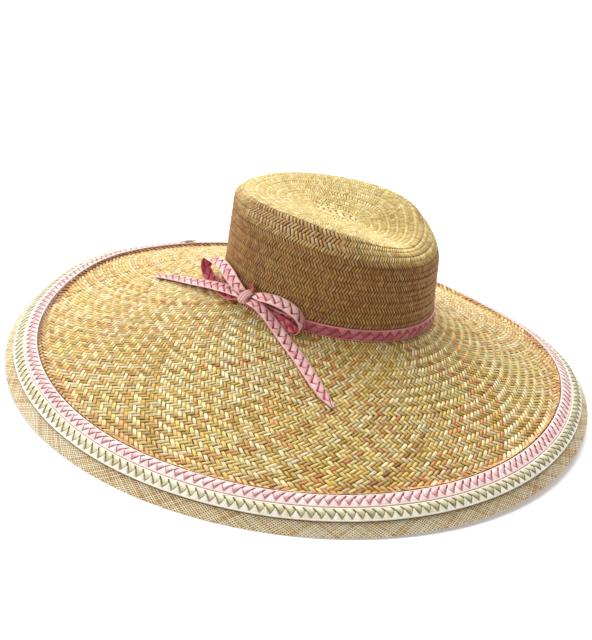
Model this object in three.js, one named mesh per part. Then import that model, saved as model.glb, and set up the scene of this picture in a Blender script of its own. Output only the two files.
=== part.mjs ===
// A wide-brim hat of woven palm straw, lying on its rim.
// Millimetres, +Z up, +Y to the front of the hat, +X to the wearer's right.
// The origin is on the floor, below the centre of the outline.
import * as THREE from "three";

// Brim, measured from the centre of the rim
const RIM_RADIUS = 272;
const RIM_LIFT = 14;
const PINK_WIDTH = 10.8;
const PINK_SLOPE = 20;
const CREAM_WIDTH = 10.6;
const CREAM_SLOPE = 29;
const MESH_WIDTH = 11.2;
const MESH_SLOPE = 43;
const MESH_LAP = 3.5;
const MESH_WALL = 1.4;
const BRAID_THICKNESS = 2.2;
const LIP_WIDTH = 4;
const LIP_SLOPE = 42;
const STRAW_WALL = 1.6;
const BRIM_SAG = 1.5;

// Crown, measured from its own foot
const CROWN_HALF_LENGTH = 103;
const CROWN_HALF_WIDTH = 80;
const CROWN_SETBACK = 20;
const CROWN_HEIGHT = 89;
const CROWN_TAPER = 3.5;
const CROWN_CENTRE_HEIGHT = 77;
const FOOT_HEIGHT = 77.6;
const FOOT_LEAN_RIGHT = 1.67;
const FOOT_LEAN_FRONT = 0.53;

// Band
const BAND_WIDTH = 10.5;
const BAND_THICKNESS = 1.8;

// Bow, tied over the band on the wearer's left
const RIBBON_WIDTH = 10.5;
const RIBBON_THICKNESS = 1.6;
const KNOT_TURN = 164.6;
const KNOT_OUT = 5.7;
const KNOT_ABOVE = 13.9;
const KNOT_LENGTH = 8;
const KNOT_HALF_HEIGHT = 7.2;
const KNOT_HALF_DEPTH = 3.8;
const KNOT_SLANT = 0.3;

// The lapped joint of the two plaits
const JOINT_TURN = 67;
const JOINT_LENGTH = 16;
const JOINT_THICKNESS = 1.6;

// Sewn and touching pieces keep this gap
const GAP = 0.3;

const BRIM_STEPS = 84;
const CROWN_STEPS = 72;

// The rim, turn by turn from the wearer's right: how far it reaches and how high it is lifted,
// as shares of RIM_RADIUS and RIM_LIFT, and how many degrees steeper the three trims fall there.
const RIM_ROWS = [
  { turn: 0, reach: 0.94, lift: 0, fall: 9 },
  { turn: 25, reach: 0.94, lift: 0, fall: 9 },
  { turn: 50, reach: 0.965, lift: 0, fall: 8 },
  { turn: 75, reach: 1, lift: 0.55, fall: -2 },
  { turn: 95, reach: 1, lift: 1, fall: -6 },
  { turn: 120, reach: 1, lift: 0.55, fall: -3 },
  { turn: 150, reach: 1, lift: 0.2, fall: 0 },
  { turn: 180, reach: 1, lift: 0, fall: 0 },
  { turn: 210, reach: 1, lift: 0, fall: 0 },
  { turn: 240, reach: 1, lift: 0.16, fall: 0 },
  { turn: 270, reach: 1, lift: 0.42, fall: 0 },
  { turn: 300, reach: 1, lift: 0.68, fall: 0 },
  { turn: 318, reach: 0.985, lift: 0.45, fall: 2 },
  { turn: 340, reach: 0.945, lift: 0.05, fall: 8 },
];

// The crown, from its front (0) round either side to its back (180). The wall's top and the
// edge of the flat top are shares of CROWN_HEIGHT, the inset of that edge a share of the half
// width. A full round of 1 is a soft shoulder, and 0 is the flat facet of the side pinch.
const CROWN_ROWS = [
  { turn: 0, wall: 0.85, edge: 0.93, inset: 0.09, round: 0.8 },
  { turn: 30, wall: 0.86, edge: 0.95, inset: 0.1, round: 0.7 },
  { turn: 60, wall: 0.84, edge: 0.98, inset: 0.15, round: 0.1 },
  { turn: 90, wall: 0.84, edge: 1, inset: 0.17, round: 0 },
  { turn: 118, wall: 0.81, edge: 0.97, inset: 0.15, round: 0.1 },
  { turn: 135, wall: 0.68, edge: 0.92, inset: 0.22, round: 0.7 },
  { turn: 152, wall: 0.58, edge: 0.86, inset: 0.27, round: 1 },
  { turn: 180, wall: 0.56, edge: 0.81, inset: 0.3, round: 1 },
];

// The bow's ribbons, row by row from the knot. A swing is in degrees round the crown from the
// knot towards the front. How far a ribbon lies out from the crown foot and above the brim are
// shares of RIBBON_WIDTH, and so is its own width. Its right side looks forward, outward and up.
// The left loop, forward from the knot over the top and back beneath.
const LOOP_LEFT_ROWS = [
  { swing: 2.8, out: 0.5, above: 1.5, width: 0.6, side: [0, 0.7, 0.7] },
  { swing: 9.6, out: 0.5, above: 1.75, width: 0.9, side: [0, 0.7, 0.7] },
  { swing: 16.1, out: 0.46, above: 2, width: 1, side: [0, 0.68, 0.72] },
  { swing: 28.6, out: 0.51, above: 2.1, width: 1, side: [0.1, 0.6, 0.8] },
  { swing: 39.1, out: 1.01, above: 1.96, width: 1, side: [0.45, 0.45, 0.75] },
  { swing: 44, out: 1.49, above: 1.58, width: 0.95, side: [0.9, 0.1, 0.3] },
  { swing: 44, out: 1.62, above: 0.99, width: 0.95, side: [0.9, -0.3, -0.2] },
  { swing: 40, out: 1.33, above: 0.5, width: 0.95, side: [0.5, -0.3, -0.8] },
  { swing: 28.9, out: 0.82, above: 0.3, width: 0.95, side: [0.1, -0.3, -1] },
  { swing: 18.6, out: 0.71, above: 0.33, width: 0.9, side: [0, -0.3, -1] },
  { swing: 9.6, out: 0.64, above: 0.63, width: 0.8, side: [0, -0.45, -0.9] },
  { swing: 3.3, out: 0.43, above: 1.04, width: 0.5, side: [0, -0.7, -0.7] },
];
// The right loop, back along the crown and under again beside the band.
const LOOP_RIGHT_ROWS = [
  { swing: -3.6, out: 0.36, above: 1.61, width: 0.45, side: [0, 0.7, 0.7] },
  { swing: -8.9, out: 0.42, above: 1.9, width: 0.8, side: [0, 0.65, 0.75] },
  { swing: -17.4, out: 0.38, above: 2.1, width: 0.95, side: [0, 0.6, 0.8] },
  { swing: -24.9, out: 0.42, above: 1.96, width: 0.95, side: [-0.2, 0.6, 0.75] },
  { swing: -30.4, out: 0.48, above: 1.49, width: 0.95, side: [-0.7, 0.4, 0.6] },
  { swing: -32.6, out: 0.66, above: 0.93, width: 0.95, side: [-0.95, 0.25, 0] },
  { swing: -31.2, out: 0.84, above: 0.5, width: 0.85, side: [-0.4, -0.2, -0.8] },
  { swing: -25.4, out: 0.54, above: 0.59, width: 0.75, side: [-0.1, -0.75, -0.6] },
  { swing: -16.4, out: 0.33, above: 0.59, width: 0.7, side: [0, -1, -0.15] },
  { swing: -8.4, out: 0.35, above: 0.78, width: 0.62, side: [0, -0.95, -0.3] },
  { swing: -3.1, out: 0.53, above: 1.02, width: 0.45, side: [0, -0.7, -0.6] },
];
// The left tail, crossing over its loop and down onto the brim.
const TAIL_LEFT_ROWS = [
  { swing: 3.2, out: 0.53, above: 1.21, width: 0.55, side: [0, 0.7, 0.7] },
  { swing: 9, out: 0.63, above: 1.18, width: 0.85, side: [0, 0.65, 0.75] },
  { swing: 21.9, out: 1.03, above: 0.76, width: 1, side: [0, 0.5, 0.85] },
  { swing: 38, out: 2.72, above: 0.38, width: 1, side: [0, 0.42, 0.9] },
  { swing: 48.2, out: 4.7, above: 0.23, width: 1, side: [0, 0.33, 0.95] },
  { swing: 52.6, out: 6.38, above: 0.19, width: 0.7, side: [0, 0.31, 0.95] },
];
// The long right tail, lying on the brim to a slanting tip.
const TAIL_RIGHT_ROWS = [
  { swing: -3, out: 0.77, above: 1.26, width: 0.5, side: [0, 0.7, 0.7] },
  { swing: -8.9, out: 0.7, above: 1.24, width: 0.72, side: [0, 0.65, 0.75] },
  { swing: -16.4, out: 0.8, above: 0.78, width: 0.85, side: [0, 0.5, 0.85] },
  { swing: -24.2, out: 1.22, above: 0.33, width: 0.95, side: [0, 0.4, 0.9] },
  { swing: -31.2, out: 1.91, above: 0.16, width: 1, side: [0, 0.31, 0.95] },
  { swing: -37.5, out: 2.76, above: 0.14, width: 1, side: [0, 0.31, 0.95] },
  { swing: -42.5, out: 3.68, above: 0.14, width: 1, side: [0, 0.31, 0.95] },
  { swing: -46.8, out: 4.6, above: 0.14, width: 0.95, side: [0, 0.31, 0.95] },
  { swing: -50.5, out: 5.52, above: 0.14, width: 0.8, side: [0, 0.31, 0.95] },
  { swing: -54, out: 6.37, above: 0.14, width: 0.25, side: [0, 0.31, 0.95] },
];
// The cut end that stands up behind the knot.
const STUB_ROWS = [
  { swing: -1, out: 0.23, above: 1.87, width: 0.6, side: [0.2, 0.9, 0.2] },
  { swing: -1.4, out: 0.21, above: 2.13, width: 0.7, side: [0.3, 0.9, 0.1] },
  { swing: -0.4, out: 0.26, above: 2.4, width: 0.5, side: [0.5, 0.8, -0.2] },
];

const radians = THREE.MathUtils.degToRad;

// A smooth curve through one column of a table, closed over the full period in degrees.
function follow(rows, column, turn, period) {
  const count = rows.length;
  const place = ((turn % period) + period) % period;
  const at = (k) => {
    const lap = Math.floor(k / count);
    const row = rows[k - lap * count];
    return { turn: row.turn + lap * period, value: row[column] };
  };
  let k = 0;
  while (at(k + 1).turn <= place) k += 1;
  const [a, b, c, d] = [at(k - 1), at(k), at(k + 1), at(k + 2)];
  const span = c.turn - b.turn;
  const s = (place - b.turn) / span;
  const leave = ((c.value - a.value) / (c.turn - a.turn)) * span;
  const arrive = ((d.value - b.value) / (d.turn - b.turn)) * span;
  const s2 = s * s;
  const s3 = s2 * s;
  return (
    b.value * (2 * s3 - 3 * s2 + 1) +
    leave * (s3 - 2 * s2 + s) +
    c.value * (3 * s2 - 2 * s3) +
    arrive * (s3 - s2)
  );
}

// The crown's rows mirrored onto its other side, to run all the way round.
const crownRound = [
  ...CROWN_ROWS,
  ...CROWN_ROWS.slice(1, -1)
    .reverse()
    .map((row) => ({ ...row, turn: 360 - row.turn })),
];

// One step down a slope: out along the slope by `along`, and square to it by `off`.
function step(point, slope, along, off = 0) {
  const angle = radians(slope);
  return {
    out: point.out + along * Math.cos(angle) + off * Math.sin(angle),
    up: point.up - along * Math.sin(angle) + off * Math.cos(angle),
  };
}

// The trims at one turn of the brim, worked inwards from the rim on the floor.
function trimsAt(turn) {
  const fall = follow(RIM_ROWS, "fall", turn, 360);
  const slopes = {
    pink: PINK_SLOPE + fall,
    cream: CREAM_SLOPE + fall,
    mesh: MESH_SLOPE + fall,
  };
  const rim = {
    out: RIM_RADIUS * follow(RIM_ROWS, "reach", turn, 360),
    up: RIM_LIFT * Math.max(0, follow(RIM_ROWS, "lift", turn, 360)),
  };
  const meshBend = step(rim, slopes.mesh, -MESH_WIDTH);
  const creamEnd = step(meshBend, slopes.cream, 0, GAP);
  const creamStart = step(creamEnd, slopes.cream, -CREAM_WIDTH);
  const pinkEnd = step(creamStart, slopes.cream, -GAP);
  const pinkStart = step(pinkEnd, slopes.pink, -PINK_WIDTH);
  return { slopes, rim, meshBend, creamStart, pinkStart };
}

// A flat plait's section: its underside on a slope, its top gently domed.
function plaitSection(start, slope, width, thickness) {
  return [
    step(start, slope, 0.04 * width),
    step(start, slope, 0.96 * width),
    step(start, slope, width, 0.5 * thickness),
    step(start, slope, 0.78 * width, 0.92 * thickness),
    step(start, slope, 0.5 * width, thickness),
    step(start, slope, 0.22 * width, 0.92 * thickness),
    step(start, slope, 0, 0.5 * thickness),
  ];
}

function pinkSection({ pinkStart, slopes }) {
  return plaitSection(pinkStart, slopes.pink, PINK_WIDTH, BRAID_THICKNESS);
}

function creamSection({ creamStart, slopes }) {
  return plaitSection(creamStart, slopes.cream, CREAM_WIDTH, BRAID_THICKNESS);
}

// The sinamay strip: lapped under the cream plait, then bent down to the floor.
function meshSection({ slopes, rim, meshBend }) {
  const top = step(meshBend, slopes.cream, -MESH_LAP);
  const land = MESH_WALL / Math.sin(radians(slopes.mesh));
  return [
    top,
    step(top, slopes.cream, 0, -MESH_WALL),
    step(meshBend, (slopes.cream + slopes.mesh) / 2, 0, -MESH_WALL),
    { out: rim.out - land, up: rim.up },
    rim,
    meshBend,
  ];
}

// The plane of the crown foot, which leans a little against the floor.
function footHeight(x, y) {
  return (
    FOOT_HEIGHT +
    x * Math.tan(radians(FOOT_LEAN_RIGHT)) +
    (y + CROWN_SETBACK) * Math.tan(radians(FOOT_LEAN_FRONT))
  );
}

// A point of an oval round the crown's axis, `grow` outside the crown's foot.
function crownPoint(turn, grow, height) {
  const angle = radians(turn);
  const x = (CROWN_HALF_WIDTH + grow) * Math.cos(angle);
  const y = (CROWN_HALF_LENGTH + grow) * Math.sin(angle) - CROWN_SETBACK;
  return new THREE.Vector3(x, y, footHeight(x, y) + height);
}

function rimPoint(turn, { out, up }) {
  const angle = radians(turn);
  return new THREE.Vector3(out * Math.cos(angle), out * Math.sin(angle), up);
}

// The upper face of the straw brim's lip at one turn: its top edge and the valley at its foot.
function brimEnds(turn) {
  const { pinkStart } = trimsAt(turn);
  const lipTop = rimPoint(turn, {
    out: pinkStart.out - GAP - STRAW_WALL * Math.sin(radians(LIP_SLOPE)),
    up: pinkStart.up + 0.5 * BRAID_THICKNESS,
  });
  const valley = alongLip(turn, lipTop, -LIP_WIDTH, 0);
  return { lipTop, valley };
}

// A point moved up the lip by `along` and out through its wall by `off`.
function alongLip(turn, point, along, off) {
  const lip = radians(LIP_SLOPE);
  const outward = rimPoint(turn, { out: 1, up: 0 });
  const moved = point.clone().addScaledVector(outward, along * Math.cos(lip) + off * Math.sin(lip));
  moved.z += along * Math.sin(lip) - off * Math.cos(lip);
  return moved;
}

// A point on the sagging slope between the crown foot and the valley.
function slopePoint(foot, valley, share) {
  const point = foot.clone().lerp(valley, share);
  point.z -= BRIM_SAG * 4 * share * (1 - share);
  return point;
}

// The straw of the brim: from the crown foot down to a lip turned up against the pink plait.
function brimSection(turn) {
  const foot = crownPoint(turn, GAP, 0);
  const { lipTop, valley } = brimEnds(turn);
  const slope = [0, 0.2, 0.4, 0.6, 0.8, 1].map((share) => slopePoint(foot, valley, share));
  const under = slope.map((point) => point.clone().add(new THREE.Vector3(0, 0, -STRAW_WALL)));
  return [...under, alongLip(turn, lipTop, 0, STRAW_WALL), lipTop, ...slope.reverse()];
}

// The crown's outer surface at one turn: insets from the foot oval and heights, foot to edge.
function crownProfile(turn) {
  const fromFront = turn - 90;
  const value = (column) => follow(crownRound, column, fromFront, 360);
  const wall = CROWN_HEIGHT * value("wall");
  const edge = CROWN_HEIGHT * value("edge");
  const inset = CROWN_HALF_WIDTH * value("inset");
  const round = value("round");
  const shoulder = [0.33, 0.67].map((share) => {
    const angle = (share * Math.PI) / 2;
    const across = THREE.MathUtils.lerp(share, 1 - Math.cos(angle), round);
    const rise = THREE.MathUtils.lerp(share, Math.sin(angle), round);
    return { inset: CROWN_TAPER + inset * across, height: wall + (edge - wall) * rise };
  });
  return [
    { inset: 0, height: 0 },
    { inset: CROWN_TAPER * 0.5, height: wall * 0.5 },
    { inset: CROWN_TAPER, height: wall },
    ...shoulder,
    { inset: CROWN_TAPER + inset, height: edge },
  ];
}

// Rings of points of the crown's outer face (wall 0) or its inner face, foot to top centre.
function crownRings(wall) {
  const turns = Array.from({ length: CROWN_STEPS }, (_, k) => (360 * k) / CROWN_STEPS);
  const profiles = turns.map(crownProfile);
  const rings = profiles[0].map((_, row) =>
    turns.map((turn, k) => {
      const profile = profiles[k];
      const before = profile[Math.max(0, row - 1)];
      const after = profile[Math.min(profile.length - 1, row + 1)];
      const along = new THREE.Vector2(after.inset - before.inset, after.height - before.height).normalize();
      const inset = profile[row].inset + wall * along.y;
      const height = profile[row].height - wall * (row === 0 ? 1 : along.x);
      return crownPoint(turn, -inset, height);
    }),
  );
  const edge = rings[rings.length - 1];
  const centre = new THREE.Vector3(0, -CROWN_SETBACK, 0);
  centre.z = footHeight(centre.x, centre.y) + CROWN_CENTRE_HEIGHT - wall;
  for (const share of [0.3, 0.65]) {
    const dip = share * share * (3 - 2 * share);
    rings.push(
      edge.map((point) => {
        const moved = point.clone().lerp(centre, share);
        moved.z = THREE.MathUtils.lerp(point.z, centre.z, dip);
        return moved;
      }),
    );
  }
  return { rings, centre };
}

// A closed band through sections that are the same polygon at each turn.
function ringGeometry(sections) {
  const side = sections[0].length;
  const positions = sections.flat().flatMap((point) => point.toArray());
  const indices = [];
  sections.forEach((_, i) => {
    const here = i * side;
    const next = ((i + 1) % sections.length) * side;
    for (let j = 0; j < side; j += 1) {
      const k = (j + 1) % side;
      indices.push(here + j, next + j, next + k, here + j, next + k, here + k);
    }
  });
  return indexed(positions, indices);
}

// A shell between outer and inner rings, each closed at its centre, joined at the foot.
function shellGeometry(outer, inner) {
  const rings = [...outer.rings.slice().reverse(), ...inner.rings];
  const steps = rings[0].length;
  const positions = [...rings.flat(), outer.centre, inner.centre].flatMap((point) => point.toArray());
  const top = rings.length * steps;
  const indices = [];
  for (let k = 0; k < steps; k += 1) {
    const next = (k + 1) % steps;
    const last = (rings.length - 1) * steps;
    indices.push(top, k, next);
    indices.push(top + 1, last + next, last + k);
    for (let row = 0; row + 1 < rings.length; row += 1) {
      const a = row * steps;
      const b = a + steps;
      indices.push(a + k, b + k, b + next, a + k, b + next, a + next);
    }
  }
  return indexed(positions, indices);
}

function indexed(positions, indices) {
  const geometry = new THREE.BufferGeometry();
  geometry.setAttribute("position", new THREE.Float32BufferAttribute(positions, 3));
  geometry.setIndex(indices);
  geometry.computeVertexNormals();
  return geometry;
}

const brimTurns = Array.from({ length: BRIM_STEPS }, (_, k) => (360 * k) / BRIM_STEPS);

function trimGeometry(section) {
  const sections = brimTurns.map((turn) => section(trimsAt(turn)).map((point) => rimPoint(turn, point)));
  return ringGeometry(sections);
}

function bandGeometry() {
  const turns = Array.from({ length: CROWN_STEPS }, (_, k) => (360 * k) / CROWN_STEPS);
  const shape = [
    [0, 0.05],
    [0.5, 0],
    [0.9, 0.2],
    [1, 0.5],
    [0.9, 0.8],
    [0.5, 1],
    [0, 0.95],
  ];
  const sections = turns.map((turn) => {
    const lean = CROWN_TAPER / crownProfile(turn)[2].height;
    return shape.map(([out, up]) => {
      const height = GAP + up * BAND_WIDTH;
      return crownPoint(turn, GAP + out * BAND_THICKNESS - lean * height, height);
    });
  });
  return ringGeometry(sections);
}

// A point `out` from the crown foot and `above` the brim's straw, following its slope.
function perch(turn, out, above) {
  const foot = crownPoint(turn, GAP, 0);
  const { lipTop, valley } = brimEnds(turn);
  const reach = Math.hypot(valley.x - foot.x, valley.y - foot.y);
  const share = Math.min(out / reach, 1);
  const point = slopePoint(foot, valley, share);
  if (out > reach) point.lerpVectors(valley, lipTop, (out - reach) / LIP_WIDTH);
  point.z += above;
  return point;
}

// A flat ribbon along its rows, thinner at its edges, with both ends closed.
function ribbonGeometry(rows, steps) {
  const turnOf = (row) => KNOT_TURN - row.swing;
  const path = new THREE.CatmullRomCurve3(
    rows.map((row) => perch(turnOf(row), row.out * RIBBON_WIDTH, row.above * RIBBON_WIDTH)),
    false,
    "centripetal",
  );
  const sides = new THREE.CatmullRomCurve3(
    rows.map((row) => {
      const outward = radians(turnOf(row));
      const [front, away, up] = row.side;
      const forward = new THREE.Vector3(Math.sin(outward), -Math.cos(outward), 0);
      return new THREE.Vector3(Math.cos(outward), Math.sin(outward), 0)
        .multiplyScalar(away)
        .addScaledVector(forward, front)
        .add(new THREE.Vector3(0, 0, up));
    }),
    false,
    "centripetal",
  );
  const widths = rows.map((row) => row.width * RIBBON_WIDTH);
  const section = [
    [-0.5, -0.2],
    [0.5, -0.2],
    [0.5, 0.2],
    [0.25, 0.5],
    [-0.25, 0.5],
    [-0.5, 0.2],
  ];
  const positions = [];
  for (let k = 0; k <= steps; k += 1) {
    const share = k / steps;
    const centre = path.getPoint(share);
    const along = path.getTangent(share);
    const side = sides.getPoint(share).projectOnPlane(along).normalize();
    const across = new THREE.Vector3().crossVectors(along, side);
    const place = share * (rows.length - 1);
    const row = Math.min(Math.floor(place), rows.length - 2);
    const width = THREE.MathUtils.lerp(widths[row], widths[row + 1], place - row);
    for (const [w, t] of section) {
      const edge = centre.clone().addScaledVector(across, w * width);
      positions.push(...edge.addScaledVector(side, t * RIBBON_THICKNESS).toArray());
    }
  }
  return tubeGeometry(positions, section.length);
}

// The knot: the ribbon wrapped once round the others, square to the band and leaning back.
function knotGeometry() {
  const centre = perch(KNOT_TURN, KNOT_OUT, KNOT_ABOVE);
  const angle = radians(KNOT_TURN);
  const away = new THREE.Vector3(Math.cos(angle), Math.sin(angle), 0);
  const along = new THREE.Vector3(-Math.sin(angle), Math.cos(angle), 0);
  const up = new THREE.Vector3(0, 0, 1);
  const front = away.clone().add(up).normalize();
  const back = up.clone().sub(away).normalize().addScaledVector(along, KNOT_SLANT);
  const ends = [
    { place: 0.5, size: 0.84 },
    { place: 0.32, size: 1 },
    { place: -0.32, size: 1 },
    { place: -0.5, size: 0.84 },
  ];
  const sides = 12;
  const positions = ends.flatMap(({ place, size }) =>
    Array.from({ length: sides }, (_, k) => {
      const around = (Math.PI * 2 * k) / sides;
      return centre
        .clone()
        .addScaledVector(along, place * KNOT_LENGTH)
        .addScaledVector(back, size * KNOT_HALF_HEIGHT * Math.cos(around))
        .addScaledVector(front, size * KNOT_HALF_DEPTH * Math.sin(around))
        .toArray();
    }).flat(),
  );
  return tubeGeometry(positions, sides);
}

// The joint: a folded end of plait lapped over the pink and the cream plait.
function jointGeometry() {
  const half = THREE.MathUtils.radToDeg(JOINT_LENGTH / 2 / RIM_RADIUS);
  const clear = BRAID_THICKNESS + 2 * GAP;
  const ends = [
    { place: -1, thickness: 0.5 },
    { place: -0.8, thickness: 1 },
    { place: 0, thickness: 1 },
    { place: 0.8, thickness: 1 },
    { place: 1, thickness: 0.5 },
  ];
  const sections = ends.map(({ place, thickness }) => {
    const turn = JOINT_TURN + place * half;
    const { pinkStart, creamStart, slopes } = trimsAt(turn);
    const face = (off) => [
      step(pinkStart, slopes.pink, 0.1 * PINK_WIDTH, off),
      step(pinkStart, slopes.pink, 0.9 * PINK_WIDTH, off),
      step(creamStart, slopes.cream, 0.15 * CREAM_WIDTH, off),
      step(creamStart, slopes.cream, 0.85 * CREAM_WIDTH, off),
    ];
    const top = face(clear + thickness * JOINT_THICKNESS).reverse();
    return [...face(clear), ...top].map((point) => rimPoint(turn, point));
  });
  const positions = sections.flat().flatMap((point) => point.toArray());
  return tubeGeometry(positions, sections[0].length);
}

// Rings of `side` points each, one after another, closed with a fan at either end.
function tubeGeometry(positions, side) {
  const count = positions.length / 3 / side;
  const indices = [];
  for (let i = 0; i + 1 < count; i += 1) {
    for (let j = 0; j < side; j += 1) {
      const k = (j + 1) % side;
      const a = i * side;
      const b = a + side;
      indices.push(a + j, b + j, b + k, a + j, b + k, a + k);
    }
  }
  for (let j = 1; j + 1 < side; j += 1) {
    const end = (count - 1) * side;
    indices.push(0, j, j + 1);
    indices.push(end, end + j + 1, end + j);
  }
  return indexed(positions, indices);
}

const hat = new THREE.Group();

function add(name, geometry, color, roughness) {
  const material = new THREE.MeshStandardMaterial({ color, roughness, metalness: 0 });
  const mesh = new THREE.Mesh(geometry, material);
  mesh.name = name;
  hat.add(mesh);
}

add("crown", shellGeometry(crownRings(0), crownRings(STRAW_WALL)), 0xb4955a, 0.7);
add("straw_brim", ringGeometry(brimTurns.map(brimSection)), 0xc8a862, 0.7);
add("pink_braid", trimGeometry(pinkSection), 0xf0d4d4, 0.6);
add("cream_braid", trimGeometry(creamSection), 0xeeead2, 0.6);
add("sinamay_edge", trimGeometry(meshSection), 0xcdb48c, 0.8);
add("hat_band", bandGeometry(), 0xc98d97, 0.6);
add("bow_knot", knotGeometry(), 0xd79aa4, 0.6);
add("bow_loop_left", ribbonGeometry(LOOP_LEFT_ROWS, 22), 0xd79aa4, 0.6);
add("bow_loop_right", ribbonGeometry(LOOP_RIGHT_ROWS, 22), 0xd79aa4, 0.6);
add("bow_tail_left", ribbonGeometry(TAIL_LEFT_ROWS, 12), 0xd79aa4, 0.6);
add("bow_tail_right", ribbonGeometry(TAIL_RIGHT_ROWS, 14), 0xd79aa4, 0.6);
add("bow_stub", ribbonGeometry(STUB_ROWS, 4), 0xb4485a, 0.6);
add("braid_joint", jointGeometry(), 0xe9dcc4, 0.6);

const outline = new THREE.Box3().setFromObject(hat);
const middle = outline.getCenter(new THREE.Vector3());
for (const piece of hat.children) piece.geometry.translate(-middle.x, -middle.y, -outline.min.z);

export default hat;
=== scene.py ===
import math

import bpy
import numpy as np
from mathutils import Matrix, Vector


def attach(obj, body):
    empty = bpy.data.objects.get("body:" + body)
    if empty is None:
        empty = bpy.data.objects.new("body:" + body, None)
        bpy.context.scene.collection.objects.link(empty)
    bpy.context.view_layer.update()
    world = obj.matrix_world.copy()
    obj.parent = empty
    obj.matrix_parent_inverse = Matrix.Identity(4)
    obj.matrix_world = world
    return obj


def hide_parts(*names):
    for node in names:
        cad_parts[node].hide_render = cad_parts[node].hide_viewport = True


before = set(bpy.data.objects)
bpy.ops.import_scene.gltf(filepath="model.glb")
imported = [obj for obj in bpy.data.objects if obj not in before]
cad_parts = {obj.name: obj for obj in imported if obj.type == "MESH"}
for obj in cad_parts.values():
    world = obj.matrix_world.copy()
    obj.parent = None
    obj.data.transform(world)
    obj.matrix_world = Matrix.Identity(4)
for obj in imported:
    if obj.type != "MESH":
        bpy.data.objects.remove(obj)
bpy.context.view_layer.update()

# Camera, floor and light. The camera stands where the photograph was taken from, behind the
# hat's left side. The floor is pale and bare, and glows a little, which keeps shadows faint.
# The main light comes from above and beyond, and a weaker, lower one from the picture's left.
PICTURE_WIDTH = 592
FOCAL_PIXELS = 991.249
SENSOR_WIDTH = 36.0
CAMERA_DISTANCE = 1.03
FLOOR_SIZE = 120.0
FLOOR_DROP = 0.0006
scene = bpy.context.scene
aim = Vector((0.074305, 0.051317, 0.0))
azimuth, elevation, roll = math.radians(212.823), math.radians(25.666), math.radians(7.226)
near = math.cos(elevation)
reach = Vector((near * math.cos(azimuth), near * math.sin(azimuth), math.sin(elevation)))
forward = -reach
level = forward.cross(Vector((0, 0, 1))).normalized()
upright = level.cross(forward)
right = level * math.cos(roll) + upright * math.sin(roll)
up = upright * math.cos(roll) - level * math.sin(roll)
camera_data = bpy.data.cameras.new("camera")
camera_data.sensor_fit = "HORIZONTAL"
camera_data.sensor_width = SENSOR_WIDTH
camera_data.lens = FOCAL_PIXELS * SENSOR_WIDTH / PICTURE_WIDTH
camera = bpy.data.objects.new("camera", camera_data)
turned = Matrix((right, up, -forward)).transposed().to_4x4()
camera.matrix_world = Matrix.Translation(aim + CAMERA_DISTANCE * reach) @ turned
scene.collection.objects.link(camera)
scene.camera = camera

bpy.ops.object.select_all(action="DESELECT")
bpy.ops.mesh.primitive_grid_add(
    x_subdivisions=8, y_subdivisions=8, size=FLOOR_SIZE, location=(0, 0, -FLOOR_DROP)
)
floor = bpy.context.object
floor.name = "floor"
floor_paint = bpy.data.materials.new("floor_paint")
floor_paint.use_nodes = True
floor_shader = floor_paint.node_tree.nodes["Principled BSDF"]
floor_shader.inputs["Base Color"].default_value = (0.92, 0.92, 0.92, 1)
floor_shader.inputs["Roughness"].default_value = 0.9
floor_shader.inputs["Emission Color"].default_value = (1, 1, 1, 1)
floor_shader.inputs["Emission Strength"].default_value = 0.28
floor.data.materials.append(floor_paint)


def add_node(owner, kind, inputs=None, **settings):
    """A new shader node, with its settings and the values of its inputs."""
    node = owner.node_tree.nodes.new("ShaderNode" + kind)
    for name, value in settings.items():
        setattr(node, name, value)
    for name, value in (inputs or {}).items():
        node.inputs[name].default_value = value
    return node


def add_ramp(owner, low, high, start=0.0, end=1.0):
    """A ramp from one colour to another between two places."""
    ramp = add_node(owner, "ValToRGB")
    for stop, place, colour in zip(ramp.color_ramp.elements, (start, end), (low, high)):
        stop.position = place
        stop.color = (*colour, 1)
    return ramp


def join(owner, *links):
    """Joins an output of one node to an input of another, for each link."""
    for source, output, target, socket in links:
        owner.node_tree.links.new(source.outputs[output], target.inputs[socket])


world = bpy.data.worlds.new("studio")
world.use_nodes = True
sky = world.node_tree.nodes["Background"]
sky.inputs["Strength"].default_value = 0.95
sky_place = add_node(world, "TexCoord")
beyond = add_node(world, "VectorMath", {1: (0.6, 0.68, 0.42)}, operation="DOT_PRODUCT")
sky_ramp = add_ramp(world, (0.22, 0.215, 0.205), (1.0, 0.99, 0.97), 0.0, 0.85)
join(
    world,
    (sky_place, "Generated", beyond, 0),
    (beyond, "Value", sky_ramp, "Fac"),
    (sky_ramp, "Color", sky, "Color"),
)
scene.world = world
scene.view_settings.view_transform = "Standard"


def sun(name, energy, spread, azimuth, height):
    """A soft sun, with its spread, azimuth and height in degrees."""
    light = bpy.data.lights.new(name, "SUN")
    light.energy = energy
    light.angle = math.radians(spread)
    lamp = bpy.data.objects.new(name, light)
    across, rise = math.radians(azimuth), math.tan(math.radians(height))
    lamp.rotation_mode = "QUATERNION"
    lamp.rotation_quaternion = Vector((math.cos(across), math.sin(across), rise)).to_track_quat("Z", "Y")
    scene.collection.objects.link(lamp)


sun("key", 2.55, 44, 42, 58)
sun("side", 1.15, 30, 132, 32)

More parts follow.
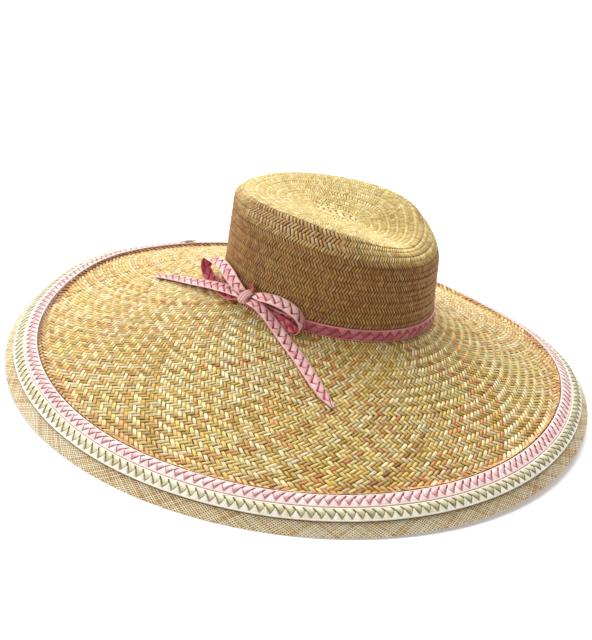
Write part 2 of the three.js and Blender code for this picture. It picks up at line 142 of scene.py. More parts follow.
# Straw crown. Strips of palm leaf, about 3 mm wide, cross at 45 degrees and pass over two and
# under two, so that each ring of the weave shows one set of strips and the next ring the other.
# Its wall, its soft shoulder and its dished top follow the same table as the solid.
CROWN_HALF_LENGTH = 103.0
CROWN_HALF_WIDTH = 80.0
CROWN_SETBACK = 20.0
CROWN_HEIGHT = 89.0
CROWN_TAPER = 3.5
CROWN_CENTRE_HEIGHT = 77.0
FOOT_HEIGHT = 77.6
FOOT_LEAN_RIGHT = 1.67
FOOT_LEAN_FRONT = 0.53
STRAW_WALL = 1.6
OUTLINE_MIDDLE = np.array([-8.16, 0.0992, 0.0])
GRID_TURNS = np.arange(0, 360, 0.5)
SHOULDER_POINTS = 17
WALL_POINTS = 12
CROWN_COLUMNS = ("turn", "wall", "edge", "inset", "round")
CROWN_TABLE = [
    (0, 0.85, 0.93, 0.09, 0.8),
    (30, 0.86, 0.95, 0.1, 0.7),
    (60, 0.84, 0.98, 0.15, 0.1),
    (90, 0.84, 1, 0.17, 0),
    (118, 0.81, 0.97, 0.15, 0.1),
    (135, 0.68, 0.92, 0.22, 0.7),
    (152, 0.58, 0.86, 0.27, 1),
    (180, 0.56, 0.81, 0.3, 1),
]
CROWN_ROWS = [dict(zip(CROWN_COLUMNS, row)) for row in CROWN_TABLE]
crown_round = CROWN_ROWS + [{**row, "turn": 360 - row["turn"]} for row in CROWN_ROWS[-2:0:-1]]


def follow(rows, column, turns):
    """A smooth closed curve through one column of a table."""
    at = np.array([row["turn"] for row in rows], float)
    value = np.array([row[column] for row in rows], float)
    at = np.concatenate([at[-2:] - 360, at, at[:2] + 360])
    value = np.concatenate([value[-2:], value, value[:2]])
    place = np.mod(turns, 360.0)
    b = np.clip(np.searchsorted(at, place, side="right") - 1, 1, len(at) - 3)
    span = at[b + 1] - at[b]
    s = (place - at[b]) / span
    leave = (value[b + 1] - value[b - 1]) / (at[b + 1] - at[b - 1]) * span
    arrive = (value[b + 2] - value[b]) / (at[b + 2] - at[b]) * span
    return (
        value[b] * (2 * s**3 - 3 * s**2 + 1)
        + leave * (s**3 - 2 * s**2 + s)
        + value[b + 1] * (3 * s**2 - 2 * s**3)
        + arrive * (s**3 - s**2)
    )


def foot_height(x, y):
    """Height of the crown's foot, which lies on a plane that leans right and forward."""
    lean_right = math.tan(math.radians(FOOT_LEAN_RIGHT))
    lean_front = math.tan(math.radians(FOOT_LEAN_FRONT))
    return FOOT_HEIGHT + x * lean_right + (y + CROWN_SETBACK) * lean_front


def crown_point(turns, grow, height):
    """A point on the crown's oval, let out by `grow`, at a height above its foot."""
    angle = np.radians(turns)
    x = (CROWN_HALF_WIDTH + grow) * np.cos(angle)
    y = (CROWN_HALF_LENGTH + grow) * np.sin(angle) - CROWN_SETBACK
    return np.stack([x, y, foot_height(x, y) + height], -1)


def crown_grid(wall_rows, top_rows, per_row):
    """Points of the crown's outer face, ring by ring from its foot to the middle of its top."""
    turns = GRID_TURNS
    from_front = turns - 90
    wall = CROWN_HEIGHT * follow(crown_round, "wall", from_front)
    edge = CROWN_HEIGHT * follow(crown_round, "edge", from_front)
    inset = CROWN_HALF_WIDTH * follow(crown_round, "inset", from_front)
    soft = follow(crown_round, "round", from_front)
    share = np.linspace(0, 1, SHOULDER_POINTS)[:, None]
    across = share + (1 - np.cos(share * math.pi / 2) - share) * soft
    rise = share + (np.sin(share * math.pi / 2) - share) * soft
    wall_share = np.linspace(0, 1, WALL_POINTS, endpoint=False)[:, None]
    insets = np.concatenate([wall_share * CROWN_TAPER + 0 * wall, CROWN_TAPER + inset * across])
    heights = np.concatenate([wall_share * wall, wall + (edge - wall) * rise])
    length = np.hypot(np.diff(insets, axis=0), np.diff(heights, axis=0)).cumsum(0)
    length = np.concatenate([np.zeros((1, len(turns))), length])
    places = np.linspace(0, 1, wall_rows * per_row + 1)
    side = np.empty((len(turns), len(places), 3))
    for k in range(len(turns)):
        at = places * length[-1, k]
        i = np.interp(at, length[:, k], insets[:, k])
        h = np.interp(at, length[:, k], heights[:, k])
        side[k] = crown_point(np.full(len(places), turns[k]), -i, h)
    rim_inset = CROWN_TAPER + inset
    spine = (CROWN_HALF_LENGTH - CROWN_HALF_WIDTH) * np.sin(np.radians(turns))
    q = 1 - np.linspace(0, 1, top_rows * per_row + 1)[1:]
    span = (CROWN_HALF_WIDTH - rim_inset)[:, None] * q
    x = span * np.cos(np.radians(turns))[:, None]
    y = spine[:, None] + span * np.sin(np.radians(turns))[:, None]
    bearing = np.arctan2(y, x)
    for _ in range(10):
        i = CROWN_TAPER + CROWN_HALF_WIDTH * follow(crown_round, "inset", np.degrees(bearing) - 90)
        bearing = np.arctan2(y / (CROWN_HALF_LENGTH - i), x / (CROWN_HALF_WIDTH - i))
    turned = np.degrees(bearing)
    i = CROWN_TAPER + CROWN_HALF_WIDTH * follow(crown_round, "inset", turned - 90)
    edge_there = crown_point(turned, -i, CROWN_HEIGHT * follow(crown_round, "edge", turned - 90))
    reach_there = np.hypot(edge_there[..., 0], edge_there[..., 1] + CROWN_SETBACK)
    share = 1 - np.hypot(x, y) / reach_there
    middle = foot_height(0.0, -CROWN_SETBACK) + CROWN_CENTRE_HEIGHT
    z = edge_there[..., 2] + (middle - edge_there[..., 2]) * share**2 * (3 - 2 * share)
    top = np.stack([x, y - CROWN_SETBACK, z], -1)
    return np.concatenate([side, top], 1) - OUTLINE_MIDDLE


def surface(grid, per_row, out):
    """A function that gives points at a turn and row of a grid, raised off it by a height."""
    closed = np.concatenate([grid[-1:], grid, grid[:2]])
    round_ = np.gradient(closed, axis=0)
    down = np.gradient(closed, axis=1)
    normal = np.cross(round_, down) * out
    normal /= np.linalg.norm(normal, axis=-1, keepdims=True) + 1e-9
    spacing = 360.0 / len(grid)

    def place(turn, row, height):
        a = np.mod(turn, 360.0) / spacing + 1
        b = np.clip(row * per_row, 0, closed.shape[1] - 1.001)
        i, j = a.astype(int), b.astype(int)
        s, t = (a - i)[..., None], (b - j)[..., None]

        def mix(g):
            before = g[i, j] * (1 - s) + g[i + 1, j] * s
            after = g[i, j + 1] * (1 - s) + g[i + 1, j + 1] * s
            return before * (1 - t) + after * t

        return mix(closed) + mix(normal) * height[..., None]

    return place


def mesh_piece(name, points, faces, material, node, uv=None, tint=None):
    """A finished piece from points in millimetres and faces, riding with the hat."""
    mesh = bpy.data.meshes.new(name)
    mesh.from_pydata((points * 0.001).tolist(), [], faces.tolist() if hasattr(faces, "tolist") else faces)
    loops = np.empty(len(mesh.loops), np.int32)
    mesh.loops.foreach_get("vertex_index", loops)
    if uv is not None:
        layer = mesh.uv_layers.new(name="strip")
        layer.data.foreach_set("uv", uv[loops].astype(np.float32).ravel())
    if tint is not None:
        colour = mesh.color_attributes.new("tint", "FLOAT_COLOR", "POINT")
        colour.data.foreach_set("color", np.c_[tint, np.ones(len(tint))].astype(np.float32).ravel())
    mesh.polygons.foreach_set("use_smooth", np.ones(len(mesh.polygons), bool))
    mesh.materials.append(material)
    mesh.validate()
    piece = bpy.data.objects.new(name, mesh)
    scene.collection.objects.link(piece)
    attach(piece, "root")
    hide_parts(node)


def strips(place, corners, lift, along, across, flip=False):
    """Raised patches, one for each row of four corners, with their points, faces and own maps."""
    n = len(corners)
    xi = np.array([a for a, _ in along])
    eta = np.array([b for b, _ in across])
    height = np.array([h for _, h in along])[:, None] + np.array([h for _, h in across])[None]
    u, v = np.meshgrid((xi + 1) / 2, (eta + 1) / 2, indexing="ij")
    weights = np.stack([(1 - u) * (1 - v), u * (1 - v), u * v, (1 - u) * v], -1)
    flat = np.einsum("abk,nkc->nabc", weights, corners)
    points = place(flat[..., 0], flat[..., 1], height[None] + lift[:, None, None])
    na, nb = len(xi), len(eta)
    i, j = np.meshgrid(np.arange(na - 1), np.arange(nb - 1), indexing="ij")
    first = (i * nb + j).ravel()
    quad = np.stack([first, first + nb, first + nb + 1, first + 1], -1)
    if flip:
        quad = quad[:, ::-1]
    faces = (quad[None] + (np.arange(n) * na * nb)[:, None, None]).reshape(-1, 4)
    uv = np.stack([np.broadcast_to(v, (n, na, nb)), np.broadcast_to(u, (n, na, nb))], -1).copy()
    return points.reshape(-1, 3), faces, uv.reshape(-1, 2), na * nb


def paint(red, green, blue):
    """A colour as it is seen on a screen, from 0 to 255, in the renderer's own scale."""
    c = np.array([red, green, blue]) / 255
    return np.where(c <= 0.04045, c / 12.92, ((c + 0.055) / 1.055) ** 2.4)


STRAW_COLOURS = [
    (250, 242, 206), (244, 226, 158), (234, 206, 112), (206, 172, 82),
    (228, 172, 108), (220, 140, 80), (160, 100, 54),
]
STRAW_TINTS = np.array([paint(*colour) for colour in STRAW_COLOURS])
STRAW_SHARES = [0.27, 0.27, 0.2, 0.13, 0.1, 0.025, 0.005]
rng = np.random.default_rng(11)


def twill(
    place, first_row, rows, count, keep, flip=False, fine=True, reach=1.18, calm=0.0, end=0.34, fill=0.23
):
    """The floats of an over-two-under-two weave in rings of `count` strips each way.

    `reach` and `fill` are a float's half length and half width, `calm` evens out its colour,
    and `end` is painted shade that darkens it where it dives under the next one.
    """
    cells, ids, family = [], [], []
    for k in range(first_row, first_row + rows):
        m = np.arange(count)
        lean = 1 if k % 2 == 0 else -1
        cx = m + (0.25 if lean > 0 else 0.75) + rng.normal(0, 0.03, count)
        cy = k + 0.5 + rng.normal(0, 0.02, count)
        wide = fill * rng.normal(1, 0.06, count).clip(0.8, 1.12)
        cells.append(np.stack([cx, cy, wide, np.full(count, lean)], -1))
        ids.append((m - k if lean > 0 else m + k) % count)
        family.append(np.full(count, lean))
    cells, ids, family = np.concatenate(cells), np.concatenate(ids), np.concatenate(family)
    good = keep(cells[:, 0] * 360 / count, cells[:, 1])
    cells, ids, family = cells[good], ids[good], family[good]
    cx, cy, wide, lean = cells.T
    corners = np.empty((len(cells), 4, 2))
    for c, (xi, eta) in enumerate(((-1, -1), (1, -1), (1, 1), (-1, 1))):
        corners[:, c, 0] = (cx + xi * 0.5 * lean + eta * wide * lean) * 360 / count
        corners[:, c, 1] = cy + xi * 0.5 - eta * wide
    lift = rng.normal(0, 0.05, len(cells))
    if flip:
        lift = lift - STRAW_WALL
    rise = -1 if flip else 1
    if fine:
        flat = reach - 0.42
        along = [(-reach, -0.6), (-flat, 0.2), (flat, 0.2), (reach, -0.6)]
        across = [(-1, -0.5), (-0.38, 0.14), (0.38, 0.14), (1, -0.5)]
    else:
        along = [(-1.2, -0.5), (0, 0.25), (1.2, -0.5)]
        across = [(-1, -0.25), (0, 0.05), (1, -0.25)]
    along = [(a, h * rise) for a, h in along]
    across = [(a, h * rise) for a, h in across]
    points, faces, uv, each = strips(place, corners, lift, along, across, flip=not flip)
    own = rng.choice(len(STRAW_TINTS), size=(2, count), p=STRAW_SHARES)
    base = STRAW_TINTS[own[(family > 0).astype(int), ids]]
    other = STRAW_TINTS[rng.choice(len(STRAW_TINTS), size=len(ids), p=STRAW_SHARES)]
    mix = rng.random((len(ids), 1)) ** 3 * 0.5
    tint = (base * (1 - mix) + other * mix) * (1 - calm) + STRAW_TINTS[1] * calm
    tint = tint * rng.normal(1, 0.09, (len(ids), 1)).clip(0.75, 1.2) * [[1, 0.98, 0.88]]
    # Painted shade at both ends of each float.
    ends = np.where(np.abs(uv[:, 1:] - 0.5) > 0.55, end, 1.0)
    uv[:, 1] += np.repeat(rng.random(len(ids)) * 400, each)
    uv[:, 0] += np.repeat(np.floor(rng.random(len(ids)) * 50), each) * 3
    return points, faces, uv, np.repeat(tint, each, axis=0) * ends


def gather(parts):
    """Several sets of patches as one."""
    start = 0
    out = [[], [], [], []]
    for points, faces, uv, tint in parts:
        out[0].append(points)
        out[1].append(faces + start)
        out[2].append(uv)
        out[3].append(tint)
        start += len(points)
    return [np.concatenate(part) for part in out]


def ring_faces(count, side):
    """Faces of a closed section carried all the way round."""
    i, j = np.meshgrid(np.arange(count), np.arange(side), indexing="ij")
    a, b = i * side + j, ((i + 1) % count) * side + j
    c, d = ((i + 1) % count) * side + (j + 1) % side, i * side + (j + 1) % side
    return np.stack([a, b, c, d], -1).reshape(-1, 4)


def shell(grid, outer, inner, rows, turns):
    """A closed wall between two heights off a grid: its points and faces."""
    place = surface(grid, 1, 1)
    t, r = np.meshgrid(turns, rows, indexing="ij")
    top = place(t, r, np.full(t.shape, float(outer)))
    under = place(t, r, np.full(t.shape, float(inner)))
    ring = np.concatenate([top, under[:, ::-1]], 1)
    return ring.reshape(-1, 3), ring_faces(*ring.shape[:2])


def straw_material(name, dark, gloss, edge_shade):
    """Split palm leaf: its own tint and fine streaks along it, with painted shade that darkens its edges down
    to `edge_shade`.
    """
    material = bpy.data.materials.new(name)
    material.use_nodes = True
    shader = material.node_tree.nodes["Principled BSDF"]
    shader.inputs["Roughness"].default_value = gloss
    tint = add_node(material, "Attribute", attribute_name="tint")
    uv = add_node(material, "UVMap", uv_map="strip")
    stretch = add_node(material, "Mapping", {"Scale": (7.0, 0.55, 1.0)})
    streak = add_node(material, "TexNoise", {"Scale": 1.0, "Detail": 3.0})
    ramp = add_ramp(material, dark, (1.06, 1.05, 1.0), 0.32, 0.62)
    blend = add_node(material, "Mix", {"Factor": 1.0}, data_type="RGBA", blend_type="MULTIPLY")
    split = add_node(material, "SeparateXYZ")
    share = add_node(material, "Math", operation="FRACT")
    centred = add_node(material, "Math", {1: 0.5}, operation="SUBTRACT")
    edge = add_node(material, "Math", operation="ABSOLUTE")
    fading = {"From Min": 0.36, "From Max": 0.5, "To Min": 1.0, "To Max": edge_shade}
    fade = add_node(material, "MapRange", fading)
    darken = add_node(material, "VectorMath", operation="SCALE")
    bump = add_node(material, "Bump", {"Strength": 0.5, "Distance": 0.00025})
    join(
        material,
        (uv, "UV", stretch, "Vector"),
        (stretch, "Vector", streak, "Vector"),
        (streak, "Fac", ramp, "Fac"),
        (tint, "Color", blend, "A"),
        (ramp, "Color", blend, "B"),
        (uv, "UV", split, "Vector"),
        (split, "X", share, 0),
        (share, "Value", centred, 0),
        (centred, "Value", edge, 0),
        (edge, "Value", fade, "Value"),
        (blend, "Result", darken, "Vector"),
        (fade, "Result", darken, "Scale"),
        (darken, "Vector", shader, "Base Color"),
        (streak, "Fac", bump, "Height"),
        (bump, "Normal", shader, "Normal"),
    )
    return material


straw = straw_material("palm_straw", (0.62, 0.46, 0.26), 0.42, 0.3)


def plain_gap(name, low, high):
    """Painted shade: dark, mottled straw for what shows between strips."""
    material = bpy.data.materials.new(name)
    material.use_nodes = True
    shader = material.node_tree.nodes["Principled BSDF"]
    shader.inputs["Roughness"].default_value = 0.8
    where = add_node(material, "TexCoord")
    noise = add_node(material, "TexNoise", {"Scale": 360.0})
    ramp = add_ramp(material, low, high)
    join(
        material,
        (where, "Object", noise, "Vector"),
        (noise, "Fac", ramp, "Fac"),
        (ramp, "Color", shader, "Base Color"),
    )
    return material


between = plain_gap("between_strips", paint(40, 20, 8), paint(100, 62, 28))
# Painted light: the top's copy is less dark, as the top faces the light.
between_pale = plain_gap("between_top_strips", paint(104, 66, 28), paint(150, 106, 54))

WALL_RINGS = 18
TOP_RINGS = 14
RING_POINTS = 4
CROWN_STRIPS = 216
PINCH_STRIPS = 150
# Each zone of the top: its first ring, its rings, and the strips that run each way in it.
TOP_ZONES = [(18, 4, 216), (22, 3, 162), (25, 3, 108), (28, 2, 72), (30, 1, 42), (31, 1, 20)]
crown_points = crown_grid(WALL_RINGS, TOP_RINGS, RING_POINTS)
crown_place = surface(crown_points, RING_POINTS, 1)


def everywhere(turn, row):
    return np.ones(len(turn), bool)


def pinched(turn, row):
    """The facet on each side of the crown, just under its top edge, has wider strips."""
    return (follow(crown_round, "round", turn - 90) < 0.16) & (row > 14.9) & (row < 18)


def on_wall(turn, row):
    return ~(pinched(turn, row) & (follow(crown_round, "round", turn - 90) < 0.12))


wall_floats = [
    twill(crown_place, 1, 17, CROWN_STRIPS, on_wall, reach=0.98, calm=0.35, end=0.3, fill=0.205),
    twill(crown_place, 15, 3, PINCH_STRIPS, pinched, reach=1.0, calm=0.3, end=0.3, fill=0.2),
]
top_floats = [
    twill(crown_place, first, rows, count, everywhere, reach=1.1, calm=0.5, end=0.3, fill=0.235)
    for first, rows, count in TOP_ZONES
]
points, faces, uv, tint = gather(wall_floats)
raw = points + OUTLINE_MIDDLE
right_share, front_share = raw[:, 0] / CROWN_HALF_WIDTH, (raw[:, 1] + CROWN_SETBACK) / CROWN_HALF_LENGTH
around = np.degrees(np.arctan2(front_share, right_share)) - 90
above_foot = raw[:, 2] - foot_height(raw[:, 0], raw[:, 1])
wall_top = CROWN_HEIGHT * follow(crown_round, "wall", around)
edge_top = CROWN_HEIGHT * follow(crown_round, "edge", around)
soft = follow(crown_round, "round", around)
# Painted shade: the wall below the shoulder is painted darker and browner than the top, and the facet under
# the top edge darker still. The wall is also redder in wavy bands.
facet = np.clip((above_foot - wall_top) / (edge_top - wall_top) * 4, 0, 1) * (1 - soft)
side = np.clip((wall_top + 3 + (edge_top - wall_top) * 0.6 * soft - above_foot) / 6, 0, 1)
side, facet = side[:, None], np.clip(facet, 0, 1)[:, None]
tint = tint * (1.08 - side * [[0.57, 0.73, 0.86]]) * (1 - facet * [[0.36, 0.5, 0.54]])
red_bands = 0.5 + 0.5 * np.sin(above_foot / 4 + 2 * np.sin(np.radians(around * 4)))
tint = tint * (1 - side * red_bands[:, None] ** 2 * [[0.0, 0.1, 0.1]])
top_points, top_faces, top_uv, top_tint = gather(top_floats)
# Painted light: the top, which faces the light, is painted a little paler.
top_tint = top_tint * [[1.04, 1.08, 1.1]]
points, faces, uv, tint = gather([(points, faces, uv, tint), (top_points, top_faces, top_uv, top_tint)])
mesh_piece("crown_weave", points, faces, straw, "crown", uv, tint)

shell_turns = np.arange(0, 360, 3.0)
wall_end, top_end = WALL_RINGS * RING_POINTS, (WALL_RINGS + TOP_RINGS) * RING_POINTS
points, faces = shell(crown_points, -0.5, -1.1, np.arange(0, wall_end + 1, 3), shell_turns)
mesh_piece("crown_core", points, faces, between, "crown")
points, faces = shell(crown_points, -0.45, -1.1, np.arange(wall_end, top_end + 1, 4), shell_turns)
mesh_piece("crown_top_core", points, faces, between_pale, "crown")

inside_floats = [
    twill(crown_place, first, rows, count, everywhere, flip=True, fine=False)
    for first, rows, count in [(0, WALL_RINGS, CROWN_STRIPS), *TOP_ZONES]
]
points, faces, uv, tint = gather(inside_floats)
mesh_piece("crown_inside_weave", points, faces, straw, "crown", uv, tint)

# Straw brim. It is woven on from the crown in the same rings, with strips added in one ring
# about half way out. It slopes down to a lip that is turned up and sewn to the pink plait.
RIM_RADIUS = 272.0
GAP = 0.3
PINK_WIDTH = 10.8
PINK_SLOPE = 20.0
CREAM_WIDTH = 10.6
CREAM_SLOPE = 29.0
MESH_WIDTH = 11.2
MESH_SLOPE = 43.0
MESH_WALL = 1.4
MESH_LAP = 3.5
BRAID_THICKNESS = 2.2
RIM_LIFT = 14.0
LIP_WIDTH = 4.0
LIP_SLOPE = 42.0
BRIM_SAG = 1.5
RIM_COLUMNS = ("turn", "reach", "lift", "fall")
RIM_TABLE = [
    (0, 0.94, 0, 9),
    (25, 0.94, 0, 9),
    (50, 0.965, 0, 8),
    (75, 1, 0.55, -2),
    (95, 1, 1, -6),
    (120, 1, 0.55, -3),
    (150, 1, 0.2, 0),
    (180, 1, 0, 0),
    (210, 1, 0, 0),
    (240, 1, 0.16, 0),
    (270, 1, 0.42, 0),
    (300, 1, 0.68, 0),
    (318, 0.985, 0.45, 2),
    (340, 0.945, 0.05, 8),
]
RIM_ROWS = [dict(zip(RIM_COLUMNS, row)) for row in RIM_TABLE]


def step(point, slope, along, off=0.0):
    """Out along a slope by `along` and square to it by `off`."""
    angle = np.radians(slope)
    out, high = point
    across, down = np.cos(angle), np.sin(angle)
    return out + along * across + off * down, high - along * down + off * across


def trims_at(turns):
    """Where each of the three trims starts at a turn, worked inwards from the rim."""
    fall = follow(RIM_ROWS, "fall", turns)
    rim = (
        RIM_RADIUS * follow(RIM_ROWS, "reach", turns),
        RIM_LIFT * np.maximum(0, follow(RIM_ROWS, "lift", turns)),
    )
    bend = step(rim, MESH_SLOPE + fall, -MESH_WIDTH)
    cream_end = step(bend, CREAM_SLOPE + fall, 0, GAP)
    cream = step(cream_end, CREAM_SLOPE + fall, -CREAM_WIDTH)
    pink = step(step(cream, CREAM_SLOPE + fall, -GAP), PINK_SLOPE + fall, -PINK_WIDTH)
    return fall, rim, bend, cream, pink


def round_rim(turns, point):
    """Points at an (out, high) place of the brim's section, carried round to each turn."""
    angle = np.radians(turns)
    out, high = point
    return np.stack([out * np.cos(angle), out * np.sin(angle), high + 0 * out], -1) - OUTLINE_MIDDLE


def lip_points(turns):
    """The bottom and the top of the turned-up lip, on the straw's upper face."""
    pink = trims_at(turns)[4]
    lip = math.radians(LIP_SLOPE)
    out, high = pink[0] - GAP - STRAW_WALL * math.sin(lip), pink[1] + 0.5 * BRAID_THICKNESS
    valley = round_rim(turns, (out - LIP_WIDTH * math.cos(lip), high - LIP_WIDTH * math.sin(lip)))
    return valley, round_rim(turns, (out, high))


def brim_grid(steps):
    """Points of the brim's upper face, one for each millimetre out from the crown's foot."""
    foot = crown_point(GRID_TURNS, GAP, 0) - OUTLINE_MIDDLE
    valley, top = lip_points(GRID_TURNS)
    length = np.linalg.norm(valley - foot, axis=1)
    out = np.arange(steps)[None, :, None]
    share = out / length[:, None, None]
    slope = foot[:, None] + (valley - foot)[:, None] * share
    slope[..., 2] -= BRIM_SAG * 4 * share[..., 0] * (1 - share[..., 0])
    past = ((out[..., 0] - length[:, None]) / LIP_WIDTH)[..., None]
    rise = valley[:, None] + (top - valley)[:, None] * past
    return np.where(past > 0, rise, slope), length


RING = 4.35
INNER_RINGS = 17
OUTER_RINGS = 28
OUTER_STRIPS = 270
# The bearing, in degrees, of the strips that are painted palest.
SHEEN_WAY = 33.0
brim_points, brim_length = brim_grid(200)
brim_place = surface(brim_points, RING, -1)


def lip_end(turn):
    """How far out the straw reaches at a turn, with its lip."""
    return np.interp(np.mod(turn, 360), GRID_TURNS, brim_length) + LIP_WIDTH


def on_brim(turn, row):
    return (row - 0.45) * RING < lip_end(turn)


def brim_cut(turn, row, height):
    """The brim's face, with every strip cut off at the top of the lip."""
    end = lip_end(turn) / RING
    return brim_place(turn, np.minimum(row, end) + 0.02 * np.maximum(row - end, 0), height)


def lip_orange_and_shade(floats):
    """Strips near the lip turn orange in places, and the far side's lip is painted browner, as painted shade
    on its turned-up inner face.
    """
    points, faces, uv, tint = floats
    raw = points + OUTLINE_MIDDLE
    turn = np.degrees(np.arctan2(raw[:, 1], raw[:, 0]))
    inward = trims_at(turn)[4][0] - np.hypot(raw[:, 0], raw[:, 1])
    patchy = 0.5 + 0.5 * np.sin(np.radians(turn * 23)) * np.sin(np.radians(turn * 7 + 40))
    orange_share = np.clip(1.15 - inward / 14, 0, 1) * (0.25 + 0.75 * patchy)
    # Painted shade: the far side's turned-up lip is in shade, so it is painted browner.
    far = np.clip((np.cos(np.radians(turn - 75)) - 0.25) / 0.3, 0, 1)
    lip = np.clip((4.6 - inward) / 1.2, 0, 1) * far
    tint = tint + (paint(150, 98, 50) - tint) * lip[:, None] * 0.85
    orange_tone = paint(192, 112, 62) * (0.5 + tint.sum(1, keepdims=True) / 2.2)
    return points, faces, uv, tint + (orange_tone - tint) * (0.6 * orange_share[:, None])


def sheen(floats):
    """Painted sheen: strips that run one way are a little paler than those that cross them."""
    points, faces, uv, tint = floats
    each = points.reshape(-1, 4, 4, 3)
    way = each[:, 3].mean(1) - each[:, 0].mean(1)
    bright = np.cos(2 * (np.arctan2(way[:, 1], way[:, 0]) - math.radians(SHEEN_WAY)))
    return points, faces, uv, tint * (1 + np.repeat(bright, 16)[:, None] * [[0.15, 0.17, 0.22]])


brim_floats = [
    twill(brim_cut, 0, INNER_RINGS, CROWN_STRIPS, on_brim),
    twill(brim_cut, INNER_RINGS, OUTER_RINGS, OUTER_STRIPS, on_brim),
]
points, faces, uv, tint = lip_orange_and_shade(sheen(gather(brim_floats)))
mesh_piece("brim_weave", points, faces, straw, "straw_brim", uv, tint)

under_floats = [
    twill(brim_cut, 0, INNER_RINGS, CROWN_STRIPS, on_brim, flip=True, fine=False),
    twill(brim_cut, INNER_RINGS, OUTER_RINGS, OUTER_STRIPS, on_brim, flip=True, fine=False),
]
points, faces, uv, tint = gather(under_floats)
mesh_piece("brim_under_weave", points, faces, straw, "straw_brim", uv, tint)

core_turns = np.arange(0, 360, 2.0)
core_length = lip_end(core_turns) - LIP_WIDTH
core_slope = np.linspace(0, 1, 18)[None] * core_length[:, None]
core_lip = core_length[:, None] + np.array([[0.5, 1.0]]) * (LIP_WIDTH - 0.3)
core_out = np.concatenate([core_slope, core_lip], 1)
core_round = np.repeat(core_turns[:, None], core_out.shape[1], 1)
core_top = brim_place(core_round, core_out / RING, np.full(core_out.shape, -0.6))
core_under = brim_place(core_round, core_out / RING, np.full(core_out.shape, -1.0))
ring = np.concatenate([core_under, core_top[:, ::-1]], 1)
core_faces = ring_faces(*ring.shape[:2])
mesh_piece("brim_core", ring.reshape(-1, 3), core_faces, between, "straw_brim")

# Pink and cream plaits. Each is a flat plait of dyed straw, sewn edge to edge round the brim.
# Its strips fold over at both edges and meet in a zigzag along its middle.
PINK_FOLDS = 206
CREAM_FOLDS = 220


def dome(w, edge=0.5, swell=0.5, power=2.6):
    """How full a plait is at w across it: `edge` at its edges, and `swell` more in its middle."""
    return edge + swell * (1 - np.abs(2 * w - 1) ** power)


def trim_place(which, slope, width):
    """A function that gives points on the upper face of one of the three trims."""

    def place(turn, w, height):
        fall, rim, bend, cream, pink = trims_at(turn)
        start = {"pink": pink, "cream": cream, "mesh": bend}[which]
        off = (dome(np.clip(w, 0, 1)) * BRAID_THICKNESS if which != "mesh" else 0) + height
        return round_rim(turn, step(start, slope + fall, w * width, off))

    return place


ZIGZAG_MIDDLE = 0.52
ZIGZAG_SHADE = 0.14


def plait_facets(place, count, pitch, start, lean, upper, lower, flip, shaded=(0.06, 0.22, 0.2)):
    """The folded strips of a flat plait: one row dives under the other along a zigzag."""
    parts = []
    outlines = (
        (upper, [(0.12, 0.06), (0.96, 0.7), (1.33, 0.38), (0.98, 0.06)]),
        (lower, [(-0.08, 0.9), (0.35, 0.38), (0.43, 0.38), (0.92, 0.9)]),
    )
    for row, (tones, outline) in enumerate(outlines):
        corners = np.array(outline)[None] + rng.normal(0, 0.012, (count, 4, 2))
        corners[..., 0] = start + pitch * (corners[..., 0] * lean + np.arange(count)[:, None])
        if row == 0:
            along = [(-1, -0.06), (-0.8, 0.16), (0.5, 0.1), (1, -0.22)]
            across = [(-1, -0.3), (-0.86, 0.0), (0.5, 0.06), (1, -0.1)]
        else:
            along = [(-1, 0.02), (-0.6, 0.16), (0.5, 0.2), (1, 0.08)]
            across = [(-1, -0.22), (-0.7, 0.1), (0.7, 0.06), (1, -0.36)]
        turned = (row == 1) != (lean < 0)
        points, faces, uv, each = strips(
            place, corners, rng.normal(0, 0.03, count), along, across, flip=turned != flip
        )
        shade = tones[rng.integers(0, len(tones), count)] * rng.normal(1, 0.04, (count, 1)).clip(0.85, 1.05)
        b, a = uv.reshape(count, each, 2).transpose(2, 0, 1)
        weights = np.stack([(1 - a) * (1 - b), a * (1 - b), a * b, (1 - a) * b], -1)
        across_plait = (corners[:, None, :, 1] * weights).sum(-1)
        # Painted shade: each strip is darker along the zigzag, where one row dives under the other.
        deep = np.exp(-(((across_plait - ZIGZAG_MIDDLE) / ZIGZAG_SHADE) ** 2)).reshape(-1, 1)
        uv[:, 1] += np.repeat(rng.random(count) * 400, each)
        parts.append((points, faces, uv, np.repeat(shade, each, axis=0) * (1 - deep * [shaded])))
    return gather(parts)


# Across a plait from edge to edge: place, rise, and kind, which is 0 for the rolled edge, 1 for
# the bed and 2 for the sewn edge. The bed and the sewn edge are painted dark, as painted shade.
BED = [
    (-0.03, -0.02, 0),
    (0.02, 0.06, 0),
    (0.06, 0.1, 0),
    (0.08, -0.3, 1),
    (0.5, -0.35, 1),
    (0.86, -0.3, 1),
    (0.885, 0.1, 0),
    (0.96, 0.06, 0),
    (0.99, -0.3, 2),
]
bed_w = np.array([row[0] for row in BED])
bed_raise = np.array([row[1] for row in BED])
bed_kind = [row[2] for row in BED]
SCALLOP = 0.12


def bed_piece(name, node, section, faces, w, along, shade):
    """The rolled edges and dark bed that a plait's strips lie on, from rows of points; the bed's dark is
    painted shade.
    """
    size = section.shape[:2]
    uv = np.stack([np.broadcast_to(w * 1.4 + 0.3, size), np.broadcast_to(along[:, None], size)], -1)
    tint = np.broadcast_to(np.array(shade), (*size, 3)).reshape(-1, 3)
    mesh_piece(name, section.reshape(-1, 3), faces, bed_straw, node, uv.reshape(-1, 2), tint)


